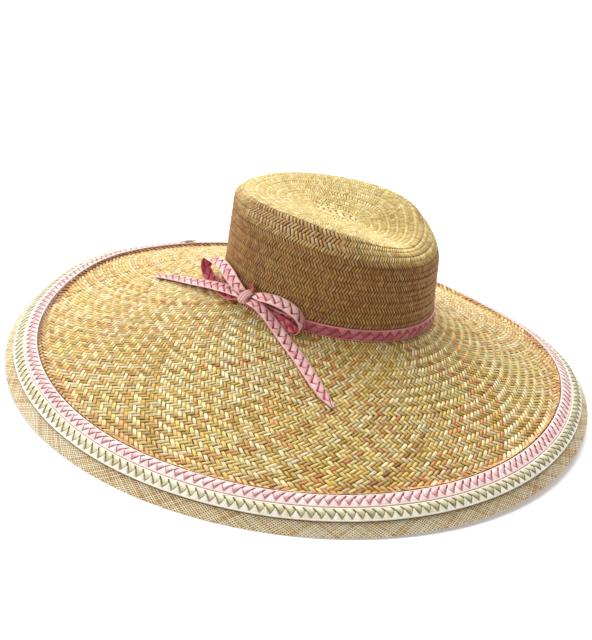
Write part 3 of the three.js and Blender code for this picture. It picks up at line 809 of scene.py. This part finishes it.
def braid(name, which, slope, width, count, lean, upper, lower, tones, shaded):
    """A plait round the brim. Its tones are those of its rolled edge, its bed and its sewn edge."""
    place = trim_place(which, slope, width)
    turns = np.arange(0, 360, 360 / count / 4)
    t, w = np.meshgrid(turns, bed_w, indexing="ij")
    raised = bed_raise[None] + 0 * t
    scallop = np.abs(np.sin(np.radians(turns * count / 2)))[:, None]
    raised[:, [1, 2]] += SCALLOP * scallop
    raised[:, [6, 7]] += SCALLOP * scallop

    def beneath(turn, w, height):
        fall, _, _, cream, pink = trims_at(turn)
        start = pink if which == "pink" else cream
        return round_rim(turn, step(start, slope + fall, w * width, -0.3 * height))

    section = np.concatenate([place(t, w, raised), beneath(t, w[:, ::-1], raised[:, ::-1])], 1)[:, ::-1]
    shade = np.array([tones[kind] for kind in bed_kind + bed_kind[::-1]])[::-1]
    across = np.concatenate([bed_w, bed_w[::-1]])[::-1]
    bed_piece(name + "_bed", name, section, ring_faces(*section.shape[:2]), across, turns, shade)
    for label, face in (("_back", beneath), ("_plait", place)):
        points, faces, uv, tint = plait_facets(
            face, count, 360 / count, 0.0, lean, upper, lower, face is beneath, shaded
        )
        mesh_piece(name + label, points, faces, plait_straw, name, uv, tint)


plait_straw = straw_material("plait_straw", (0.88, 0.8, 0.78), 0.36, 0.62)
bed_straw = straw_material("plait_bed", (0.9, 0.84, 0.8), 0.4, 1.0)
pink_upper = np.array([paint(246, 216, 216), paint(241, 206, 208), paint(250, 230, 228)])
pink_lower = np.array([paint(250, 230, 228), paint(247, 220, 220), paint(252, 240, 238)])
cream_upper = np.array([paint(228, 223, 190), paint(236, 230, 202), paint(220, 214, 178)])
cream_lower = np.array([paint(250, 248, 232), paint(245, 241, 216), paint(252, 251, 242)])
# Painted shade: each plait's bed, seen in the gaps between strips, and its sewn edge, under the next trim, are
# painted dark.
pink_tones = (paint(250, 226, 222), paint(164, 70, 82), paint(170, 100, 84))
cream_tones = (paint(253, 251, 238), paint(120, 106, 62), paint(150, 128, 84))
braid(
    "pink_braid", "pink", PINK_SLOPE, PINK_WIDTH, PINK_FOLDS, -1,
    pink_upper, pink_lower, pink_tones, (0.06, 0.26, 0.24),
)
braid(
    "cream_braid", "cream", CREAM_SLOPE, CREAM_WIDTH, CREAM_FOLDS, 1,
    cream_upper, cream_lower, cream_tones, (0.26, 0.26, 0.4),
)

# Mesh edge. A bias strip of stiff open fibre mesh is sewn under the cream plait and bends down
# to the floor. Its fine pale yarns cross on the slant over a brown base, painted shade for the holes.
YARNS = 600
YARN_RUN = 5.9
YARN_HALF_WIDTH = 0.25
YARN_TINTS = np.array([paint(254, 247, 224), paint(248, 234, 198), paint(238, 214, 166), paint(210, 174, 116)])
YARN_SHARES = [0.36, 0.32, 0.2, 0.12]
UPPER_POINTS = 25
UNDER_POINTS = 7
trim_turns = np.arange(0, 360, 1.0)
mesh_place = trim_place("mesh", MESH_SLOPE, MESH_WIDTH)
fall, rim, bend, _, _ = trims_at(trim_turns)
top = step(bend, CREAM_SLOPE + fall, -MESH_LAP)
land = MESH_WALL / np.sin(np.radians(MESH_SLOPE + fall))
mesh_section = [
    step(top, CREAM_SLOPE + fall, 0, -0.1),
    step(top, CREAM_SLOPE + fall, 0, -MESH_WALL),
    step(bend, (CREAM_SLOPE + MESH_SLOPE) / 2 + fall, 0, -MESH_WALL),
    (rim[0] - land, rim[1]),
    (rim[0] - 0.5, rim[1]),
    step(rim, MESH_SLOPE + fall, -0.8, -0.35),
    step(bend, MESH_SLOPE + fall, MESH_WIDTH / 2, -0.35),
    step(bend, (CREAM_SLOPE + MESH_SLOPE) / 2 + fall, 0, -0.35),
]
ring = np.stack([round_rim(trim_turns, point) for point in mesh_section], 1)
# Painted shade: the brown base stands for the shaded holes between the yarns.
mesh_gap = plain_gap("mesh_gap", paint(112, 68, 30), paint(156, 106, 58))
yarn_straw = straw_material("yarn", (0.9, 0.82, 0.7), 0.55, 0.75)
base_faces = ring_faces(*ring.shape[:2])
mesh_piece("mesh_edge_base", ring.reshape(-1, 3), base_faces, mesh_gap, "sinamay_edge")


def mesh_beneath(turn, w, height):
    """The underside of the mesh, as far down as the edge that stands on the floor."""
    fall, _, bend, _, _ = trims_at(turn)
    slope = MESH_SLOPE + fall
    length = MESH_WIDTH - MESH_WALL / np.tan(np.radians(slope))
    return round_rim(turn, step(step(bend, slope, 0, -MESH_WALL), slope, w * 0.94 * length, -height - 0.22))


parts = []
for face, lean in ((mesh_place, 1), (mesh_place, -1), (mesh_beneath, 1), (mesh_beneath, -1)):
    on_top = face is mesh_place
    x = np.arange(YARNS) + rng.normal(0, 0.05, YARNS)
    half, slant = YARN_HALF_WIDTH, YARN_RUN * lean
    quad = np.array([(-half, 0.0), (slant - half, 1.0), (slant + half, 1.0), (half, 0.0)])
    corners = np.repeat(quad[None], YARNS, 0)
    corners[..., 0] = (corners[..., 0] + x[:, None]) * 360 / YARNS
    run = np.linspace(0, 1, UPPER_POINTS if on_top else UNDER_POINTS)
    weave = 0.11 * lean * np.cos(2 * math.pi * YARN_RUN * run) if on_top else 0.05 * lean + 0 * run
    along = [(2 * r - 1, h - 0.1 - (0.25 if r in (0, 1) else 0)) for r, h in zip(run, weave)]
    across = [(-1, -0.14), (0, 0.08), (1, -0.14)]
    points, faces, uv, each = strips(
        face, corners, np.zeros(YARNS), along, across, flip=(lean < 0) == on_top
    )
    shade = YARN_TINTS[rng.choice(len(YARN_TINTS), YARNS, p=YARN_SHARES)]
    parts.append((points, faces, uv, np.repeat(shade, each, axis=0)))
points, faces, uv, tint = gather(parts)
mesh_piece("mesh_edge_yarns", points, faces, yarn_straw, "sinamay_edge", uv, tint)

# Band. A narrow plait of darker pink straw runs once round the foot of the crown, where it hides
# the fold between crown and brim.
BAND_WIDTH = 10.5
BAND_THICKNESS = 1.8
BAND_FOLDS = 64
BACK_W = [0.98, 0.02]
band_tints = np.array([paint(182, 96, 106), paint(170, 82, 94), paint(190, 112, 121)])
rose_rim, rose_dark = paint(216, 136, 148), paint(160, 50, 66)
ribbon_straw = straw_material("ribbon_straw", (0.88, 0.78, 0.78), 0.36, 0.5)


def band_fullness(w):
    return BAND_THICKNESS * dome(w, 0.55, 0.45, 2.4)


def band_place(turn, w, height):
    """Round the crown's foot: w runs up the band, from 0 to 1."""
    wall = CROWN_HEIGHT * follow(crown_round, "wall", turn - 90)
    high = GAP + w * BAND_WIDTH
    grow = GAP + band_fullness(w) + height - CROWN_TAPER / wall * high
    return crown_point(turn, grow, high) - OUTLINE_MIDDLE


band_turns = np.arange(0, 360, 2.0)
t, w = np.meshgrid(band_turns, bed_w, indexing="ij")
outer_face = band_place(t, w, bed_raise[None] + 0 * t)
t, w = np.meshgrid(band_turns, BACK_W, indexing="ij")
back_face = band_place(t, w, -band_fullness(w))
section = np.concatenate([outer_face, back_face], 1)
# Painted shade: the band's bed and its back, against the crown, are dark rose.
shade = [(rose_rim, rose_dark, rose_rim)[kind] for kind in bed_kind] + [rose_dark] * 2
band_faces = ring_faces(*section.shape[:2])
band_across = np.array([*bed_w, *BACK_W])
bed_piece("band_bed", "hat_band", section, band_faces, band_across, band_turns / 6, shade)
points, faces, uv, tint = plait_facets(
    band_place, BAND_FOLDS, 360 / BAND_FOLDS, 0.0, 1, band_tints, band_tints, True
)
mesh_piece("band_plait", points, faces, ribbon_straw, "hat_band", uv, tint)

# Bow. More of the same plait, pale outside and deep rose inside, is tied on the wearer's left.
# Its two loops are stiff and stand off the brim, and its tails lie down along it.
RIBBON_WIDTH = 10.5
RIBBON_THICKNESS = 1.6
KNOT_TURN = 164.6
bow_tints = np.array([paint(252, 200, 200), paint(246, 184, 186), paint(254, 218, 214)])
deep_tints = np.array([paint(204, 84, 96), paint(190, 64, 78), paint(216, 108, 118)])

# A row: swing round the crown from the knot in degrees, way out and height in ribbon widths,
# share of the full width, and the way its face is turned.
LOOP_LEFT_ROWS = [
    (2.8, 0.5, 1.5, 0.6, (0, 0.7, 0.7)),
    (9.6, 0.5, 1.75, 0.9, (0, 0.7, 0.7)),
    (16.1, 0.46, 2, 1, (0, 0.68, 0.72)),
    (28.6, 0.51, 2.1, 1, (0.1, 0.6, 0.8)),
    (39.1, 1.01, 1.96, 1, (0.45, 0.45, 0.75)),
    (44, 1.49, 1.58, 0.95, (0.9, 0.1, 0.3)),
    (44, 1.62, 0.99, 0.95, (0.9, -0.3, -0.2)),
    (40, 1.33, 0.5, 0.95, (0.5, -0.3, -0.8)),
    (28.9, 0.82, 0.3, 0.95, (0.1, -0.3, -1)),
    (18.6, 0.71, 0.33, 0.9, (0, -0.3, -1)),
    (9.6, 0.64, 0.63, 0.8, (0, -0.45, -0.9)),
    (3.3, 0.43, 1.04, 0.5, (0, -0.7, -0.7)),
]
LOOP_RIGHT_ROWS = [
    (-3.6, 0.36, 1.61, 0.45, (0, 0.7, 0.7)),
    (-8.9, 0.42, 1.9, 0.8, (0, 0.65, 0.75)),
    (-17.4, 0.38, 2.1, 0.95, (0, 0.6, 0.8)),
    (-24.9, 0.42, 1.96, 0.95, (-0.2, 0.6, 0.75)),
    (-30.4, 0.48, 1.49, 0.95, (-0.7, 0.4, 0.6)),
    (-32.6, 0.66, 0.93, 0.95, (-0.95, 0.25, 0)),
    (-31.2, 0.84, 0.5, 0.85, (-0.4, -0.2, -0.8)),
    (-25.4, 0.54, 0.59, 0.75, (-0.1, -0.75, -0.6)),
    (-16.4, 0.33, 0.59, 0.7, (0, -1, -0.15)),
    (-8.4, 0.35, 0.78, 0.62, (0, -0.95, -0.3)),
    (-3.1, 0.53, 1.02, 0.45, (0, -0.7, -0.6)),
]
TAIL_LEFT_ROWS = [
    (3.2, 0.53, 1.21, 0.55, (0, 0.7, 0.7)),
    (9, 0.63, 1.18, 0.85, (0, 0.65, 0.75)),
    (21.9, 1.03, 0.76, 1, (0, 0.5, 0.85)),
    (38, 2.72, 0.38, 1, (0, 0.42, 0.9)),
    (48.2, 4.7, 0.23, 1, (0, 0.33, 0.95)),
    (52.6, 6.38, 0.19, 0.7, (0, 0.31, 0.95)),
]
TAIL_RIGHT_ROWS = [
    (-3, 0.77, 1.26, 0.5, (0, 0.7, 0.7)),
    (-8.9, 0.7, 1.24, 0.72, (0, 0.65, 0.75)),
    (-16.4, 0.8, 0.78, 0.85, (0, 0.5, 0.85)),
    (-24.2, 1.22, 0.33, 0.95, (0, 0.4, 0.9)),
    (-31.2, 1.91, 0.16, 1, (0, 0.31, 0.95)),
    (-37.5, 2.76, 0.14, 1, (0, 0.31, 0.95)),
    (-42.5, 3.68, 0.14, 1, (0, 0.31, 0.95)),
    (-46.8, 4.6, 0.14, 0.95, (0, 0.31, 0.95)),
    (-50.5, 5.52, 0.14, 0.8, (0, 0.31, 0.95)),
    (-54, 6.37, 0.14, 0.25, (0, 0.31, 0.95)),
]
STUB_ROWS = [
    (-1, 0.23, 1.87, 0.6, (0.2, 0.9, 0.2)),
    (-1.4, 0.21, 2.13, 0.7, (0.3, 0.9, 0.1)),
    (-0.4, 0.26, 2.4, 0.5, (0.5, 0.8, -0.2)),
]


def perch(turn, out, above):
    """A point out from the crown's foot and above the brim's straw, following its slope."""
    turns = np.array([float(turn)])
    foot = crown_point(turns, GAP, 0)[0] - OUTLINE_MIDDLE
    valley = lip_points(turns)[0][0]
    share = min(out / math.hypot(*(valley - foot)[:2]), 1)
    point = foot + (valley - foot) * share
    point[2] += above - BRIM_SAG * 4 * share * (1 - share)
    return point


def smooth(points, share):
    """A point and its heading on a centripetal curve through points."""
    points = np.asarray(points, float)
    ends = [2 * points[0] - points[1], *points, 2 * points[-1] - points[-2]]
    spot = share * (len(points) - 1)
    k = min(int(spot), len(points) - 2)
    s = spot - k
    a, b, c, d = ends[k : k + 4]
    ab, bc, cd = [max(float(np.dot(v, v)) ** 0.25, 1e-4) for v in (b - a, c - b, d - c)]
    leave = ((b - a) / ab - (c - a) / (ab + bc) + (c - b) / bc) * bc
    arrive = ((c - b) / bc - (d - b) / (bc + cd) + (d - c) / cd) * bc
    second, third = 3 * (c - b) - 2 * leave - arrive, 2 * (b - c) + leave + arrive
    point = b + leave * s + second * s**2 + third * s**3
    heading = leave + 2 * s * second + 3 * s**2 * third
    return point, heading / np.linalg.norm(heading)


def tube_faces(rows, side, turned=False):
    """Faces of a section carried along a strip, with a flat face at each end."""
    faces = []
    for i in range(rows - 1):
        for j in range(side):
            a, b, k = i * side, (i + 1) * side, (j + 1) % side
            quad = [a + j, b + j, b + k, a + k]
            faces.append(quad[:1] + quad[:0:-1] if turned else quad)
    ends = [list(range(side)), [(rows - 1) * side + j for j in range(side)][::-1]]
    return faces + [end[::-1] if turned else end for end in ends]


def ribbon(name, rows, steps, folds, tints, back_tints):
    """A flat plait swept along its rows: a closed base, and the folded strips on both faces."""
    path, sides = [], []
    for swing, out, above, _, (front, away, rise) in rows:
        turn = KNOT_TURN - swing
        angle = math.radians(turn)
        path.append(perch(turn, out * RIBBON_WIDTH, above * RIBBON_WIDTH))
        outward = np.array([math.cos(angle), math.sin(angle), 0.0])
        ahead = np.array([math.sin(angle), -math.cos(angle), 0.0])
        sides.append(outward * away + ahead * front + np.array([0, 0, rise]))
    shares = np.linspace(0, 1, steps + 1)
    centre, across, side = [], [], []
    for share in shares:
        point, heading = smooth(path, share)
        facing, _ = smooth(sides, share)
        facing = facing - heading * np.dot(facing, heading)
        facing /= np.linalg.norm(facing)
        centre.append(point)
        side.append(facing)
        across.append(np.cross(heading, facing))
    centre, across, side = np.array(centre), np.array(across), np.array(side)
    spots = shares * (len(rows) - 1)
    widths = np.interp(spots, np.arange(len(rows)), [row[3] for row in rows]) * RIBBON_WIDTH
    length = np.concatenate([[0], np.linalg.norm(np.diff(centre, axis=0), axis=1).cumsum()])

    def pick(rows, along):
        return np.stack([np.interp(along, length, rows[:, c]) for c in range(3)], -1)

    def place_on(face):
        def place(along, w, height):
            wide = np.interp(along, length, widths)
            thick = RIBBON_THICKNESS * dome(w, 0.2, 0.3, 2.4)
            return (
                pick(centre, along)
                + pick(across, along) * ((w - 0.5) * wide)[..., None] * face
                + pick(side, along) * ((thick + height) * face)[..., None]
            )

        return place

    stations = np.linspace(0, length[-1], max(int(length[-1] / 1.5), 6))
    t, w = np.meshgrid(stations, bed_w, indexing="ij")
    raised = bed_raise[None] + 0 * t
    section = np.concatenate([place_on(1)(t, w, raised), place_on(-1)(t, w, raised)], 1)
    # Painted shade: the bed is dark rose, and the sewn edge a little darker than the rolled edge.
    shade = [
        (tones[0] * 0.96, rose_dark, tones[0] * 0.9)[kind]
        for tones in (tints, back_tints)
        for kind in bed_kind
    ]
    faces = tube_faces(*section.shape[:2])
    bed_piece(name + "_bed", name, section, faces, np.tile(bed_w, 2), stations / 8, shade)
    for face, label, tones in ((1, "_plait", tints), (-1, "_back", back_tints)):
        points, faces, uv, tint = plait_facets(
            place_on(face), folds, length[-1] / folds, 0.0, 1, tones, tones, False
        )
        mesh_piece(name + label, points, faces, ribbon_straw, name, uv, tint)


ribbon("bow_loop_left", LOOP_LEFT_ROWS, 66, 16, bow_tints, deep_tints)
ribbon("bow_loop_right", LOOP_RIGHT_ROWS, 66, 13, bow_tints, deep_tints)
ribbon("bow_tail_left", TAIL_LEFT_ROWS, 48, 13, bow_tints, deep_tints)
ribbon("bow_tail_right", TAIL_RIGHT_ROWS, 56, 14, bow_tints, deep_tints)
ribbon("bow_stub", STUB_ROWS, 12, 2, deep_tints, deep_tints)

# Knot of the bow. A short length of the same plait is wound tight round the middle of the bow,
# so that it bunches into folds across its width.
KNOT_OUT = 5.7
KNOT_ABOVE = 13.9
KNOT_LENGTH = 8.0
KNOT_HALF_HEIGHT = 7.2
KNOT_HALF_DEPTH = 3.8
KNOT_SLANT = 0.3
knot_centre = perch(KNOT_TURN, KNOT_OUT, KNOT_ABOVE)
angle = math.radians(KNOT_TURN)
away = np.array([math.cos(angle), math.sin(angle), 0.0])
beside = np.array([-math.sin(angle), math.cos(angle), 0.0])
knot_front = (away + (0, 0, 1)) / math.sqrt(2)
knot_back = (np.array([0, 0, 1]) - away) / math.sqrt(2) + beside * KNOT_SLANT


def knot_place(turn, w, height):
    """Round the knot: w runs along it, from 0 to 1."""
    around = np.radians(turn)
    size = 1 - 0.16 * np.abs(2 * np.clip(w, 0, 1) - 1) ** 3
    tall = size * KNOT_HALF_HEIGHT + height
    deep = size * KNOT_HALF_DEPTH + height
    return (
        knot_centre
        + beside * ((w - 0.5) * KNOT_LENGTH)[..., None]
        + knot_back * (tall * np.cos(around))[..., None]
        + knot_front * (deep * np.sin(around))[..., None]
    )


KNOT_STEPS = 36
FOLD_POINTS = 17
knot_turns = np.arange(KNOT_STEPS) * 360 / KNOT_STEPS
t, w = np.meshgrid(knot_turns, np.linspace(0, 1, FOLD_POINTS), indexing="ij")
folds = np.cos(6 * math.pi * w + 0.5 * np.sin(np.radians(2 * t)))
rings = knot_place(t, w, 0.1 + 0.4 * folds)
points = np.concatenate([rings.reshape(-1, 3), rings[:, 0].mean(0)[None], rings[:, -1].mean(0)[None]])
near_end, far_end = len(points) - 2, len(points) - 1
faces = []
for i in range(KNOT_STEPS):
    a, b = i * FOLD_POINTS, (i + 1) % KNOT_STEPS * FOLD_POINTS
    last = FOLD_POINTS - 1
    faces += [[a + j, a + j + 1, b + j + 1, b + j] for j in range(last)]
    faces += [[near_end, a, b], [far_end, b + last, a + last]]
uv = np.concatenate([np.stack([w * 2 + 0.2, t / 40], -1).reshape(-1, 2), np.full((2, 2), 0.4)])
# Painted shade: the knot is deep rose down in its folds and pale on their crests.
pale = (0.5 + 0.5 * folds.reshape(-1, 1)) ** 0.6
tint = paint(196, 92, 106) * (1 - pale) + paint(254, 216, 214) * pale
tint = np.concatenate([tint, np.tile(paint(170, 70, 84), (2, 1))])
mesh_piece("bow_knot_folds", points, faces, bed_straw, "bow_knot", uv, tint)

# Joint of the plaits. A folded end of the cream plait is lapped over both of them, where they
# start and end at the far side of the brim, and sewn down.
JOINT_TURN = 67.0
JOINT_LENGTH = 16.0
JOINT_THICKNESS = 1.6
JOINT_POINTS = 10
joint_rim, joint_dark = paint(254, 250, 236), paint(190, 168, 124)


def joint_fullness(w):
    return JOINT_THICKNESS * dome(w, power=6)


def joint_place(q, w, height):
    """q runs out across both plaits and w runs round the brim, each from 0 to 1."""
    turn = JOINT_TURN + (2 * w - 1) * math.degrees(JOINT_LENGTH / 2 / RIM_RADIUS)
    fall, _, _, cream, pink = trims_at(turn)
    clear = BRAID_THICKNESS + 2 * GAP + joint_fullness(w) + height
    knees = [
        step(pink, PINK_SLOPE + fall, 0.1 * PINK_WIDTH, clear),
        step(pink, PINK_SLOPE + fall, 0.9 * PINK_WIDTH, clear),
        step(cream, CREAM_SLOPE + fall, 0.15 * CREAM_WIDTH, clear),
        step(cream, CREAM_SLOPE + fall, 0.85 * CREAM_WIDTH, clear),
    ]
    spot = np.clip(q, 0, 1) * 3
    out = sum(np.clip(1 - np.abs(spot - k), 0, 1) * knees[k][0] for k in range(4))
    high = sum(np.clip(1 - np.abs(spot - k), 0, 1) * knees[k][1] for k in range(4))
    return round_rim(turn, (out, high))


joint_q = np.linspace(0, 1, JOINT_POINTS)
q, w = np.meshgrid(joint_q, bed_w, indexing="ij")
over = joint_place(q, w, bed_raise[None] + 0 * q)
w = w[:, ::-1]
below = joint_place(q, w, -joint_fullness(w))
section = np.concatenate([over, below], 1)
faces = tube_faces(*section.shape[:2], turned=True)
# Painted shade: the joint's bed is darker than its rolled edges.
shade = [(joint_rim, joint_dark, joint_rim)[kind] for kind in bed_kind] + [joint_rim] * len(BED)
bed_piece("joint_bed", "braid_joint", section, faces, np.tile(bed_w, 2), joint_q * 3, shade)
points, faces, uv, tint = plait_facets(joint_place, 3, 1 / 3, -0.1, 1, cream_lower, cream_lower, True)
mesh_piece("joint_plait", points, faces, plait_straw, "braid_joint", uv, tint)
